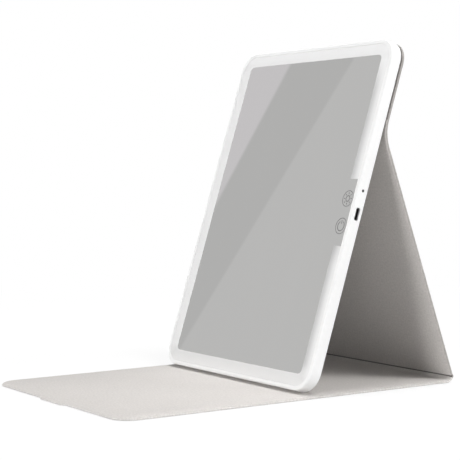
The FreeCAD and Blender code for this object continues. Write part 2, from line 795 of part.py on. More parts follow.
def pull_tab(body, level, thick):
    """The small lip in the middle of the flap's front edge."""
    sketch = new_sketch(body, level=level)
    root, tip = value("tab_width / 2"), value("tab_tip_width / 2")
    edge, end = value("-flap_length"), value("-flap_length - tab_reach")
    corners = ((root, edge), (-root, edge), (-tip, end), (tip, end))
    back, left, front, right = [line(sketch, corners[i], corners[(i + 1) % 4]) for i in range(4)]
    closed_run(sketch, [back, left, front, right])
    for member in (back, front):
        sketch.addConstraint(Sketcher.Constraint("Symmetric", member, 1, member, 2, -2))
    limit(sketch, "DistanceX", back, 2, back, 1, size="tab_width")
    limit(sketch, "DistanceX", front, 1, front, 2, size="tab_tip_width")
    limit(sketch, "DistanceY", -1, 1, back, 1, size="-flap_length")
    limit(sketch, "DistanceY", -1, 1, front, 1, size="-flap_length - tab_reach")
    pad(body, sketch, thick)


def spine_layer(body, below, thick):
    """One layer of the spine, curved up from the floor to just short of the rear crease."""
    sketch = new_sketch(body, "XZ_Plane")
    rectangle(sketch, "cover_width", thick,
              y=f"{below} + ({thick}) / 2 - spine_radius - cover_thick / 2")
    revolve(body, sketch, "spine_angle - crease_gap / spine_radius * 180 / pi")


def front_flap():
    """The flap that lies on the table, the curved spine behind it and the crease that ends it."""
    floor = "-spine_radius - cover_thick / 2"
    flap = Panel("flap", FLAP, floor, "0", "flap_length", "corner_radius + cover_overhang", downwards=True)
    pull_tab(flap.skin, floor, "skin_thick + board_thick")
    pull_tab(flap.lining, f"{floor} + skin_thick + board_thick", "lining_thick")
    spine_layer(flap.skin, "0", "skin_thick")
    spine_layer(flap.lining, "skin_thick + board_thick", "lining_thick")
    for side in ("", "-"):
        seat = new_sketch(flap.board, level=f"{floor} + skin_thick + board_thick")
        rectangle(seat, "magnet_length + 2 * hem_gap", "magnet_width + 2 * hem_gap", f"{side}magnet_spread",
                  "magnet_drop - flap_length")
        pocket(flap.board, seat, "board_thick")
    flap.finish()

    core = new_body("spine_core")
    spine_layer(core, "skin_thick", "board_thick")
    node(core, FLAP)

    crease = rod("2 * crease_radius", "cover_width", ("-cover_width / 2", "crease_y", "crease_level"), "x")
    crease.Label = "rear_crease"
    NODES.append(crease)


def strut_panel():
    """The panel that props the mirror up from behind."""
    Panel("strut", STRUT, "-cover_thick / 2", "crease_gap",
          "leg_length - crease_gap - fold_setback").finish()


def upper_panel():
    """The panel glued to the housing's back, and the soft bend that joins it to the strut."""
    Panel("upper", MIRROR, "-panel_glue_thick - cover_thick", "upper_start", "upper_length",
          "corner_radius + cover_overhang").finish()

    glue = new_body("panel_glue")
    sheet_outline = new_sketch(glue, level="-panel_glue_thick")
    tongue_outline(sheet_outline, "mirror_width - 2 * panel_glue_inset", "upper_start + panel_glue_inset",
                   "mirror_height - upper_start - 2 * panel_glue_inset", "corner_radius - panel_glue_inset")
    pad(glue, sheet_outline, "panel_glue_thick")
    node(glue, MIRROR)

    fold = new_body("upper_fold")
    section = new_sketch(fold, "XZ_Plane")
    rectangle(section, "cover_width", "cover_thick", y="bend_radius")
    revolve(fold, section, "bend_angle")
    node(fold, MIRROR, y="upper_start", z="-fold_offset - bend_radius")


rear_shell()
mirror_glass()
mirror_silver()
light_parts()
main_board()
charging_socket()
light_pipe()
battery()
magnets()
front_flap()
strut_panel()
upper_panel()
doc.recompute()

failed = [item.Label for item in doc.Objects if {"Invalid", "Error"} & set(item.State)]
failed += [item.Label for item in NODES if item.Shape.isNull() or not item.Shape.isValid()]
if failed:
    raise RuntimeError(f"not built: {failed}")
os.makedirs("parts", exist_ok=True)
for item in NODES:
    item.Shape.exportStep(f"parts/{item.Label}.step")
    print(f"{item.Label}: {len(item.Shape.Solids)} solids, {item.Shape.Volume:.1f} mm3")
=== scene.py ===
import json
import math

import bmesh
import bpy
from mathutils import Matrix, Vector


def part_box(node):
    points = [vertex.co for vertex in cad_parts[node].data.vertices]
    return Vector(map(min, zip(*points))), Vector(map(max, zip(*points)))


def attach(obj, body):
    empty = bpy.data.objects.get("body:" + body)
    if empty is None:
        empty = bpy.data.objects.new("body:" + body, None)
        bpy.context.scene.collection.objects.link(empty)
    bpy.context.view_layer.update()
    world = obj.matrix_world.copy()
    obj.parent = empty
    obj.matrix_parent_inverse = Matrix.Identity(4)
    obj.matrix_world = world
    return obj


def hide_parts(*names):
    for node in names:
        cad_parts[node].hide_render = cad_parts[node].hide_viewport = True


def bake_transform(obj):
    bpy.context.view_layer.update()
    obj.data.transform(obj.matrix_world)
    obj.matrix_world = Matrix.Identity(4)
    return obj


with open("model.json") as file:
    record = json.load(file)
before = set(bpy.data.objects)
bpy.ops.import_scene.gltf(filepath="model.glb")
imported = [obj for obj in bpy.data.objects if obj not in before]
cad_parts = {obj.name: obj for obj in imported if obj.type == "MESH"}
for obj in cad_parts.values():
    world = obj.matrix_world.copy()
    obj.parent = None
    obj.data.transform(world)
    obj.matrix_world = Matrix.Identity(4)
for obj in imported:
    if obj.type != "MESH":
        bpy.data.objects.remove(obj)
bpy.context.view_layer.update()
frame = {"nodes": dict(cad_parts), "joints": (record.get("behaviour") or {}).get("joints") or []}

# A lighted makeup mirror on its folding fabric cover. Metres, +Z up, the glass faces -Y.

# Pane. The silvering stops earlier on the left, because it is seen through the glass.
LEAN = math.radians(18.3)
PANE_WIDTH = 0.1789
PANE_HEIGHT = 0.2417
PANE_THICK = 0.00225
PANE_CORNER = 0.01185
PANE_INSET = 0.00315
PANE_LEVEL = 0.0067
PANE_CHAMFER = 0.00015
PANE_FIT = 0.00012
BAND_WIDTH = 0.00815
SILVER_SIDE = PANE_WIDTH / 2 - BAND_WIDTH
SILVER_END = PANE_HEIGHT / 2 - BAND_WIDTH
SILVER_SHIFT = 0.0016
BAY_TOP = 0.0235
BAY_BOTTOM = -0.0235
BAY_FADE = 0.014
BAND_FADE = 0.03
BAND_FOOT = 0.001
CORNER_STEPS = 14

# Touch signs. The marks inside a ring are given as shares of its radius.
SIGN_INSET = 0.00565
SIGN_SPACING = 0.0193
SIGN_RADIUS = 0.0055
SIGN_LINE = 0.00045
MARK_LINE = 0.00062
MARK_ROUND = MARK_LINE / 2.2
SIGN_FILM = 0.00004
SIGN_STEPS = 72
SUN_RAYS = 8
SUN_DISC = 0.36
SUN_RAY = (0.54, 0.8)
SWITCH_ARC = 0.62
SWITCH_BAR = (0.26, 0.74)
SWITCH_GAP = math.radians(58)

# Fabric cover. The flap is pressed thin along its edges, and its spine curls up over SPINE_RUN before the
# crease.
SKIN_THICK = 0.0006
BOARD_THICK = 0.001
LINING_THICK = 0.0005
BASE_THICK = SKIN_THICK + BOARD_THICK
COVER_THICK = BASE_THICK + LINING_THICK
HEM_WIDTH = 0.002
PRESS_WIDTH = 0.0019
PRESS_DEPTH = 0.001
PRESS_ROUND = 0.0002
SKIN_ROUND = 0.0009
LINING_ROUND = 0.0004
COVER_CORNER = 0.0155
FLAP_CORNER = 0.0135
FLAP_LENGTH = 0.2609
TAB_ROOT = 0.036
TAB_TIP = 0.029
TAB_REACH = 0.0024
SPINE_RUN = 0.005
CREASE_GAP = 0.001
FOLD_SETBACK = 0.01
UPPER_LENGTH = 0.0555
UPPER_START = 0.1926
PANEL_GLUE = 0.0002
BEND_STEPS = 16

joints = {joint["name"]: joint for joint in frame["joints"]}
CREASE = Vector(joints["base_fold"]["pos_m"])
APEX = Vector(joints["stand_fold"]["pos_m"])
STRUT_LENGTH = (APEX - CREASE).length
STRUT_ANGLE = math.atan2(APEX.z - CREASE.z, APEX.y - CREASE.y)
COVER_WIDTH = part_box("strut_skin")[1].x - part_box("strut_skin")[0].x
SPINE_ANGLE = 2 * math.atan((CREASE.z - COVER_THICK / 2) / (SPINE_RUN + CREASE_GAP))
SPINE_RADIUS = (SPINE_RUN - CREASE_GAP * math.cos(SPINE_ANGLE)) / math.sin(SPINE_ANGLE)
BEND_ANGLE = STRUT_ANGLE + LEAN - math.pi / 2
BEND_RADIUS = FOLD_SETBACK / math.tan(BEND_ANGLE / 2)


def tilted(origin, angle):
    """A frame at a point, turned about X."""
    return Matrix.Translation(origin) @ Matrix.Rotation(angle, 4, "X")


pane_low, pane_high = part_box("mirror_glass")
PANE_FOOT = Vector((0, pane_high.y - PANE_HEIGHT * math.sin(LEAN), pane_low.z))
PANE_FRAME = tilted(PANE_FOOT, math.pi / 2 - LEAN) @ Matrix.Translation((0, PANE_HEIGHT / 2, 0))
MIRROR_FRAME = tilted(PANE_FOOT, math.pi / 2 - LEAN) @ Matrix.Translation((0, -PANE_INSET, -PANE_LEVEL))
STRUT_FRAME = tilted(CREASE, STRUT_ANGLE)
FLAP_FRAME = Matrix.Translation((0, CREASE.y - SPINE_RUN, 0))

# Limits for picking faces and edges: lengths and angles
NEAR = 1e-6
WELD = 1e-7
SHARP = math.radians(30)
SMOOTH_ANGLE = math.radians(40)

# Limits for the part of a face's normal that points one way
FLAT = 0.99
UPRIGHT = 0.3
OUTWARD = 0.8
SIDEWAYS = 0.95
INWARD = 0.5236


# Modelling

class Bench:
    """One piece being shaped in its own flat frame."""

    def __init__(self, name, add, scale=(1, 1, 1), **settings):
        bpy.ops.object.select_all(action="DESELECT")
        add(**settings)
        self.piece = bpy.context.object
        self.piece.name = self.piece.data.name = name
        self.piece.scale = scale
        bpy.ops.object.transform_apply(location=True, rotation=True, scale=True)

    def __enter__(self):
        bpy.ops.object.mode_set(mode="EDIT")
        return self

    def __exit__(self, *failure):
        bpy.ops.mesh.select_all(action="SELECT")
        bpy.ops.mesh.remove_doubles(threshold=WELD)
        bpy.ops.mesh.normals_make_consistent(inside=False)
        bpy.ops.object.mode_set(mode="OBJECT")

    def pick(self, kind, test):
        """Select the vertices, edges or faces that pass a test."""
        bpy.ops.mesh.select_mode(type={"verts": "VERT", "edges": "EDGE", "faces": "FACE"}[kind])
        bpy.ops.mesh.select_all(action="DESELECT")
        mesh = bmesh.from_edit_mesh(self.piece.data)
        for part in getattr(mesh, kind):
            if test(part):
                part.select_set(True)
        mesh.select_flush_mode()
        bmesh.update_edit_mesh(self.piece.data)

    def rim(self, level, open_ends=()):
        """Select the outline's sharp edges at a height, but not where the piece runs on."""
        def on_rim(edge):
            places = [vert.co for vert in edge.verts]
            runs_on = any(all(abs(place.y - end) < NEAR for place in places) for end in open_ends)
            level_edge = all(abs(place.z - level) < NEAR for place in places)
            return level_edge and not runs_on and edge.calc_face_angle(0) > SHARP
        self.pick("edges", on_rim)

    def move(self, offset):
        bpy.ops.transform.translate(value=offset)

    def extrude(self, offset):
        bpy.ops.mesh.extrude_region_move(TRANSFORM_OT_translate={"value": offset})

    def swing(self, angle, center):
        """Sweep the selected face about X, from +Y towards +Z where the angle is positive."""
        axis = (-math.copysign(1, angle), 0, 0)
        bpy.ops.mesh.spin(steps=BEND_STEPS, angle=abs(angle), center=center, axis=axis)


def settle(piece, place):
    """Move a piece from its flat frame to its place, and leave its object at the origin."""
    bpy.ops.object.select_all(action="DESELECT")
    piece.select_set(True)
    bpy.context.view_layer.objects.active = piece
    piece.matrix_world = place
    bpy.ops.object.transform_apply(location=True, rotation=True, scale=True)
    bpy.ops.object.shade_smooth_by_angle(angle=SMOOTH_ANGLE)


def join(pieces, name):
    """Make one piece of several."""
    bpy.ops.object.select_all(action="DESELECT")
    for piece in pieces:
        piece.select_set(True)
    bpy.context.view_layer.objects.active = pieces[0]
    bpy.ops.object.join()
    pieces[0].name = pieces[0].data.name = name
    return pieces[0]


def paint(piece, materials, choose=None):
    """Give a piece its materials, and each face the one that a rule picks."""
    piece.data.materials.clear()
    for material in materials:
        piece.data.materials.append(material)
    if choose:
        for face in piece.data.polygons:
            face.material_index = choose(face)


# Materials

class Wire:
    """A shader value that takes part in Python arithmetic."""

    def __init__(self, nodes, socket):
        self.nodes = nodes
        self.socket = socket

    def beside(self, out):
        """Another output of the node that this value comes from."""
        return Wire(self.nodes, self.socket.node.outputs[out])

    def math(self, operation, first, second=0.0):
        return self.nodes.node("Math", {"operation": operation}, {0: first, 1: second})

    def __add__(self, other):
        return self.math("ADD", self, other)

    def __sub__(self, other):
        return self.math("SUBTRACT", self, other)

    def __rsub__(self, other):
        return self.math("SUBTRACT", other, self)

    def __mul__(self, other):
        return self.math("MULTIPLY", self, other)

    def __truediv__(self, other):
        return self.math("DIVIDE", self, other)

    __radd__ = __add__
    __rmul__ = __mul__

    def sine(self):
        return self.math("SINE", self)

    def size(self):
        return self.math("ABSOLUTE", self)

    def smaller(self, other):
        return self.math("MINIMUM", self, other)

    def ramp(self, low, high):
        """0 below low, 1 above high, smooth between."""
        return self.nodes.node("MapRange", {"interpolation_type": "SMOOTHSTEP"},
                               {"Value": self, "From Min": low, "From Max": high})


class Nodes:
    """A node tree under construction."""

    def __init__(self, owner, output):
        owner.use_nodes = True
        self.tree = owner.node_tree
        self.surface = self.tree.nodes[output].inputs["Surface"]

    def node(self, kind, settings=None, sockets=None, out=0):
        made = self.tree.nodes.new(f"ShaderNode{kind}")
        for name, setting in (settings or {}).items():
            setattr(made, name, setting)
        for name, given in (sockets or {}).items():
            if isinstance(given, Wire):
                self.tree.links.new(given.socket, made.inputs[name])
            else:
                made.inputs[name].default_value = given
        return Wire(self, made.outputs[out])

    def show(self, shader):
        """Put a shader at the tree's output."""
        self.tree.links.new(shader.socket, self.surface)

    def axes(self, point):
        across = self.node("SeparateXYZ", sockets={0: point})
        return across, across.beside("Y"), across.beside("Z")

    def mix(self, share, first, second):
        return self.node("Mix", {"data_type": "RGBA"}, {0: share, 6: first, 7: second}, out=2)


class Finish(Nodes):
    """The node tree of one material."""

    def __init__(self, name, **fixed):
        self.material = bpy.data.materials.new(name)
        super().__init__(self.material, "Material Output")
        self.shader = self.tree.nodes["Principled BSDF"]
        for socket, number in fixed.items():
            self.shader.inputs[socket.replace("_", " ")].default_value = number

    def drive(self, **wires):
        """Link wires to the shader's sockets."""
        for socket, wire in wires.items():
            self.tree.links.new(wire.socket, self.shader.inputs[socket.replace("_", " ")])
        return self.material

    def place(self, source="Object", place=None):
        """Coordinates on the piece, turned into a flat frame where one is given."""
        point = self.node("TexCoord", out=source)
        if place is None:
            return point
        flat = place.inverted()
        return self.node("Mapping", sockets={"Vector": point, "Location": flat.to_translation(),
                                             "Rotation": flat.to_euler()})

    def noise(self, point, scale, detail=2.0, roughness=0.5):
        return self.node("TexNoise", sockets={"Vector": point, "Scale": scale, "Detail": detail,
                                              "Roughness": roughness})

    def stretched(self, point, scales, detail=2.0):
        """Noise with its own scale along each axis."""
        spread = self.node("VectorMath", {"operation": "MULTIPLY"}, {0: point, 1: scales})
        return self.noise(spread, 1.0, detail)

    def bump(self, height, depth, strength):
        return self.node("Bump", sockets={"Height": height, "Distance": depth, "Strength": strength})


def shade(color, factor=1.0):
    """A colour made lighter or darker."""
    return (*(channel * factor for channel in color), 1)


def around(color, spread):
    """The darker and the lighter end of a range round a colour."""
    return shade(color, 1 - spread), shade(color, 1 + spread)


# Weave: a slub's width for its length, and how strongly each unevenness colours the thread
SLUB_RUN = 0.06
SLUB_TONE = 0.6
FLECK_TONE = 2.0
MOTTLE_TONE = 0.22


def cloth(name, color, pitch, depth):
    """A fine plain weave with slubs along both threads and a faint mottle."""
    finish = Finish(name, Sheen_Weight=0.1, Sheen_Roughness=0.5)
    point = finish.place("UV")
    across, along, _ = finish.axes(point)
    turn = 2 * math.pi / pitch
    warp = (across * turn).sine() * (along * (turn / 2)).sine()
    weft = (along * turn).sine() * (across * (turn / 2)).sine()
    thread, length = 1 / pitch, SLUB_RUN / pitch
    slub = finish.stretched(point, (thread, length, 1)) + finish.stretched(point, (length, thread, 1))
    mottle = finish.noise(point, scale=45.0, detail=3.0)
    fleck = finish.noise(point, scale=0.5 / pitch)
    tone = (slub - 1.0) * SLUB_TONE + (fleck - 0.5) * FLECK_TONE + (mottle - 0.5) * MOTTLE_TONE + 0.5
    return finish.drive(
        Base_Color=finish.mix(tone, *around(color, 0.1)),
        Roughness=0.8 + slub * 0.08,
        Normal=finish.bump((warp + weft) * 0.25 + slub, depth, strength=0.6))


def moulded(name, color, roughness, grain):
    """Moulded plastic with a fine spark-eroded grain and slightly uneven gloss."""
    finish = Finish(name, IOR=1.46)
    point = finish.place()
    texture = finish.noise(point, grain, detail=3.0)
    patches = finish.noise(point, scale=18.0)
    return finish.drive(
        Base_Color=finish.mix(patches, *around(color, 0.015)),
        Roughness=(roughness - 0.06) + patches * 0.06 + texture * 0.06,
        Normal=finish.bump(texture, depth=0.00004, strength=0.35))


def plain(name, color, roughness, metallic=0.0, grain=300.0, depth=0.00005, spread=0.12):
    """A simple finish for a small or inner piece: speckled colour and gloss, and a slight grain."""
    finish = Finish(name, Metallic=metallic)
    speck = finish.noise(finish.place(), grain, detail=3.0)
    return finish.drive(
        Base_Color=finish.mix(speck, *around(color, spread)),
        Roughness=(roughness - 0.05) + speck * 0.1,
        Normal=finish.bump(speck, depth, strength=0.4))


SILVER_DULL = (0.85, 0.846, 0.836, 1)
SILVER_BRIGHT = (0.866, 0.862, 0.852, 1)
FROST_WHITE = (0.91, 0.91, 0.907, 1)
# The grey that painted shade mixes into the frosted band
FROST_SHADE = (0.3, 0.3, 0.3, 1)
FOIL_DULL = (0.55, 0.55, 0.57, 1)
FOIL_BRIGHT = (0.68, 0.68, 0.7, 1)

# How far painted shade takes the band from white to grey: all over a side, and more (or less) beside the
# silvering
INNER_SHADE = 0.04
RIGHT_SHADE, RIGHT_INNER_SHADE = 0.08, 0.4
HIGH_SHADE, HIGH_INNER_SHADE = 0.12, -0.09
LOW_INNER_SHADE = 0.14
BELOW_SHADE = 0.16
SIDE_FADE = 0.6 * BAND_WIDTH


def silvered():
    """The silvered middle of the pane, with the faint smears of a wiped mirror."""
    finish = Finish("silvered", Metallic=1.0)
    smear = finish.stretched(finish.place("Object", PANE_FRAME), (30.0, 8.0, 1.0), detail=4.0)
    return finish.drive(Base_Color=finish.mix(smear, SILVER_DULL, SILVER_BRIGHT),
                        Roughness=0.012 + smear.ramp(0.55, 0.8) * 0.02)


def frosted():
    """The etched band over the lights, with painted shade: greyer beside the silvering, and a shade fading
    out below the signs.
    """
    finish = Finish("frosted", Coat_Weight=0.3, Coat_Roughness=0.04)
    point = finish.place("Object", PANE_FRAME)
    across, up, _ = finish.axes(point)
    side = PANE_WIDTH / 2 - across.size()
    end = PANE_HEIGHT / 2 - up.size()
    inward = (side.smaller(end) / BAND_WIDTH).ramp(0.0, 1.0)
    right = across.ramp(SILVER_SIDE - SIDE_FADE, SILVER_SIDE)
    right = right * (1 - up.ramp(SILVER_END - BAND_FADE, SILVER_END))
    right = right * up.ramp(-SILVER_END - BAND_FOOT, BAND_WIDTH - SILVER_END)
    high = up.ramp(SILVER_END - SIDE_FADE, SILVER_END)
    low = 1 - up.ramp(-SILVER_END, SIDE_FADE - SILVER_END)
    below = right * up.ramp(BAY_BOTTOM - BAY_FADE, BAY_BOTTOM) * (1 - up.ramp(-NEAR, NEAR))
    # Painted shade: grey over the right side, the top and just below the signs' bay, with more grey next
    # to the silvering (less at the top).
    even = right * RIGHT_SHADE + high * HIGH_SHADE + below * BELOW_SHADE
    inner = INNER_SHADE + right * RIGHT_INNER_SHADE + high * HIGH_INNER_SHADE + low * LOW_INNER_SHADE
    band_painted_shade = even + inward * inner
    etch = finish.noise(point, scale=1500.0)
    return finish.drive(
        Base_Color=finish.mix(band_painted_shade + etch * 0.02, FROST_WHITE, FROST_SHADE),
        Roughness=0.45 + etch * 0.15,
        Normal=finish.bump(etch, depth=0.00003, strength=0.3))


def lacquered_board(name, color, track_color):
    """A lacquered circuit board with lighter tracks."""
    finish = Finish(name, IOR=1.5)
    point = finish.place("Object", PANE_FRAME)
    track = finish.node("TexBrick", {"offset": 0.37},
                        {"Vector": point, "Scale": 260.0, "Mortar Size": 0.04}, out="Fac")
    speck = finish.noise(point, scale=400.0)
    return finish.drive(
        Base_Color=finish.mix(track * 0.6 + speck * 0.2, shade(color), shade(track_color)),
        Roughness=0.3 + speck * 0.15,
        Normal=finish.bump(track, depth=0.00004, strength=0.5))


def foil_pouch():
    """The battery's laminated foil, slightly crinkled."""
    finish = Finish("foil_pouch", Metallic=0.85)
    crinkle = finish.noise(finish.place(), scale=90.0, detail=4.0, roughness=0.6)
    return finish.drive(
        Base_Color=finish.mix(crinkle, FOIL_DULL, FOIL_BRIGHT),
        Roughness=0.28 + crinkle * 0.2,
        Normal=finish.bump(crinkle, depth=0.0004, strength=0.4))


lining_cloth = cloth("lining_cloth", (0.56, 0.535, 0.514), pitch=0.0007, depth=0.00012)
skin_cloth = cloth("skin_cloth", (0.52, 0.495, 0.475), pitch=0.0008, depth=0.00016)
# A lighter copy of the cloth: painted light on the flap's edge faces, so they show as bright as its top.
sealed_edge = cloth("sealed_edge", (0.7, 0.675, 0.655), pitch=0.0007, depth=0.00006)
# A darker copy of the cloth: painted shade on the side faces of the strut, the panel on the housing and
# the bent strips.
edge_cloth = cloth("edge_cloth", (0.4, 0.381, 0.365), pitch=0.0007, depth=0.00006)
# A darker copy of the lining: painted shade on the panel on the housing's back, seen in the gap beside the
# housing.
glued_cloth = cloth("glued_cloth", (0.27, 0.255, 0.242), pitch=0.0007, depth=0.00012)
# A darker copy of the lining: painted shade inside the rear crease.
pressed_crease = cloth("pressed_crease", (0.19, 0.178, 0.169), pitch=0.0007, depth=0.00012)
housing_white = moulded("housing_white", (0.94, 0.94, 0.937), 0.42, grain=900.0)
pane_silver = silvered()
pane_frost = frosted()
pane_edge = plain("pane_edge", (0.9, 0.92, 0.91), 0.2, grain=800.0, spread=0.03)
sign_ink = plain("sign_ink", (0.16, 0.16, 0.16), 0.5, grain=2500.0)

CAD_FINISHES = {
    housing_white: ("rear_shell",),
    plain("socket_steel", (0.5, 0.5, 0.51), 0.32, metallic=1.0, grain=1500.0): ("usb_shell",),
    plain("socket_black", (0.012, 0.012, 0.012), 0.5, grain=1800.0): ("usb_tongue",),
    plain("smoky_clear", (0.07, 0.07, 0.072), 0.2, grain=600.0): ("light_pipe", "indicator_led"),
    plain("opal_plastic", (0.86, 0.86, 0.84), 0.5, spread=0.03): ("light_diffuser",),
    plain("white_tape", (0.8, 0.8, 0.77), 0.7, grain=700.0, spread=0.05): ("glass_tape", "battery_tape"),
    lacquered_board("white_board", (0.82, 0.83, 0.81), (0.7, 0.66, 0.5)): ("led_board",),
    lacquered_board("green_board", (0.015, 0.12, 0.045), (0.05, 0.26, 0.1)): ("main_board",),
    plain("led_phosphor", (0.85, 0.7, 0.25), 0.4, grain=2000.0): ("leds",),
    plain("nylon_natural", (0.8, 0.77, 0.68), 0.45, spread=0.05): ("led_terminals",),
    plain("chip_black", (0.02, 0.02, 0.021), 0.55, grain=1600.0): ("board_chips",),
    plain("lead_red", (0.42, 0.02, 0.02), 0.4, spread=0.08): ("led_leads", "battery_leads"),
    plain("touch_foam", (0.06, 0.06, 0.065), 0.9, grain=1400.0, depth=0.0002, spread=0.3): ("touch_pads",),
    foil_pouch(): ("battery",),
    plain("grey_foam", (0.2, 0.2, 0.21), 0.95, grain=900.0, depth=0.0003, spread=0.3): ("battery_foam",),
    plain("nickel_plate", (0.62, 0.6, 0.56), 0.25, metallic=1.0): ("housing_magnets", "flap_magnets"),
    plain("grey_board", (0.4, 0.35, 0.28), 0.9, grain=500.0, depth=0.0001, spread=0.2): (
        "flap_board", "strut_board", "upper_board"),
    plain("adhesive_film", (0.72, 0.71, 0.67), 0.6, spread=0.05): ("panel_glue",),
}
for finish_material, node_names in CAD_FINISHES.items():
    for node_name in node_names:
        paint(frame["nodes"][node_name], [finish_material])


# Pane and touch signs

def front_pane():
    """The pane with its ground edge, frosted band, silvered middle and the bay beside the signs."""
    def beside_rim(face):
        middle = face.calc_center_median()
        return face.normal.z > FLAT and middle.x > SILVER_SIDE and abs(middle.y) < SILVER_END / 2

    def on_left_boundary(vert):
        return -SILVER_SIDE - NEAR < vert.co.x < 0 and abs(vert.co.y) < SILVER_END + NEAR

    with Bench("front_pane", bpy.ops.mesh.primitive_plane_add,
               (PANE_WIDTH + 2 * PANE_FIT, PANE_HEIGHT + 2 * PANE_FIT, 1), size=1) as bench:
        bpy.ops.mesh.bevel(offset=PANE_CORNER + PANE_FIT, segments=CORNER_STEPS, affect="VERTICES")
        bench.extrude((0, 0, PANE_THICK))
        bench.rim(PANE_THICK)
        bpy.ops.mesh.bevel(offset=PANE_CHAMFER, segments=2)
        bench.pick("faces", lambda face: face.normal.z > FLAT)
        bpy.ops.mesh.inset(thickness=BAND_WIDTH + PANE_FIT - PANE_CHAMFER)
        bench.pick("verts", on_left_boundary)
        bench.move((SILVER_SHIFT, 0, 0))
        for end in (BAY_BOTTOM, BAY_TOP):
            bench.pick("faces", beside_rim)
            bpy.ops.mesh.bisect(plane_co=(0, end, 0), plane_no=(0, 1, 0))

    def finish_of(face):
        x, y, _ = face.center
        if face.normal.z < FLAT:
            return 2
        in_bay = x > SILVER_SIDE and BAY_BOTTOM < y < BAY_TOP
        return 0 if in_bay or (abs(x) < SILVER_SIDE / 2 and abs(y) < SILVER_END / 2) else 1

    paint(bench.piece, [pane_silver, pane_frost, pane_edge], finish_of)
    settle(bench.piece, PANE_FRAME)
    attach(bench.piece, "mirror")
    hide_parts("mirror_glass", "mirror_silver")


def ring_line(name, radius, line, gap=0.0):
    """A printed circle, open at its top over a gap angle."""
    outer, inner = radius + line / 2, radius - line / 2
    with Bench(name, bpy.ops.mesh.primitive_circle_add, vertices=SIGN_STEPS, radius=outer) as bench:
        bench.pick("verts", lambda vert: abs(math.atan2(vert.co.x, vert.co.y)) < gap / 2)
        bpy.ops.mesh.delete(type="VERT")
        bpy.ops.mesh.select_all(action="SELECT")
        bpy.ops.mesh.extrude_edges_move()
        bpy.ops.transform.resize(value=(inner / outer, inner / outer, 1), center_override=(0, 0, 0))
        bpy.ops.mesh.select_all(action="SELECT")
        bench.extrude((0, 0, SIGN_FILM))
    return bench.piece


def stroke(name, start, end, angle=0.0):
    """A short printed line along a radius, at an angle from the top."""
    with Bench(name, bpy.ops.mesh.primitive_plane_add, (MARK_LINE, end - start, 1), size=1) as bench:
        bpy.ops.mesh.bevel(offset=MARK_ROUND, segments=3, affect="VERTICES")
        bpy.ops.mesh.select_all(action="SELECT")
        bench.move((0, (start + end) / 2, 0))
        bench.extrude((0, 0, SIGN_FILM))
    settle(bench.piece, Matrix.Rotation(angle, 4, "Z"))
    return bench.piece


def touch_sign(name, marks, rise):
    """One printed sign on the pane's face, beside the rim."""
    piece = join(marks, name)
    paint(piece, [sign_ink])
    spot = Matrix.Translation((PANE_WIDTH / 2 - SIGN_INSET, rise, PANE_THICK))
    settle(piece, PANE_FRAME @ spot)
    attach(piece, "mirror")


def touch_signs():
    """A ringed sun for the brightness, above a ringed switch sign."""
    ray_start, ray_end = (SIGN_RADIUS * share for share in SUN_RAY)
    bar_start, bar_end = (SIGN_RADIUS * share for share in SWITCH_BAR)
    rays = [stroke(f"ray_{i}", ray_start, ray_end, i * 2 * math.pi / SUN_RAYS) for i in range(SUN_RAYS)]
    touch_sign("brightness_sign",
               [ring_line("sun_ring", SIGN_RADIUS, SIGN_LINE),
                ring_line("sun", SIGN_RADIUS * SUN_DISC, MARK_LINE), *rays],
               SIGN_SPACING / 2)
    touch_sign("power_sign",
               [ring_line("power_ring", SIGN_RADIUS, SIGN_LINE),
                ring_line("power_arc", SIGN_RADIUS * SWITCH_ARC, MARK_LINE, SWITCH_GAP),
                stroke("power_bar", bar_start, bar_end)],
               -SIGN_SPACING / 2)


# Cover

def weave_map(piece, along):
    """A UV map in metres: across the cover, and along its run."""
    layer = piece.data.uv_layers.active or piece.data.uv_layers.new(name="weave")
    for corner in piece.data.loops:
        point = piece.data.vertices[corner.vertex_index].co
        layer.data[corner.index].uv = (point.x, along(point))


def draw_tab(bench):
    """Draw the pull tab out of the flap's front edge."""
    def at_root(vert):
        return abs(vert.co.y + FLAP_LENGTH) < NEAR and abs(vert.co.x) < TAB_ROOT / 2 + NEAR

    for side in (-TAB_ROOT / 2, TAB_ROOT / 2):
        bpy.ops.mesh.select_all(action="SELECT")
        bpy.ops.mesh.bisect(plane_co=(side, 0, 0), plane_no=(1, 0, 0))
    bench.pick("edges", lambda edge: all(at_root(vert) for vert in edge.verts))
    bpy.ops.mesh.extrude_edges_move(TRANSFORM_OT_translate={"value": (0, -TAB_REACH, 0)})
    bpy.ops.transform.resize(value=(TAB_TIP / TAB_ROOT, 1, 1), center_override=(0, -FLAP_LENGTH, 0))


def curl_spine(bench):
    """Sweep the flap's rear face up round the spine, to just short of the crease."""
    bench.pick("faces", lambda face: abs(face.normal.y) > FLAT
               and abs(face.calc_center_median().y) < NEAR)
    bench.swing(SPINE_ANGLE, (0, 0, COVER_THICK / 2 + SPINE_RADIUS))


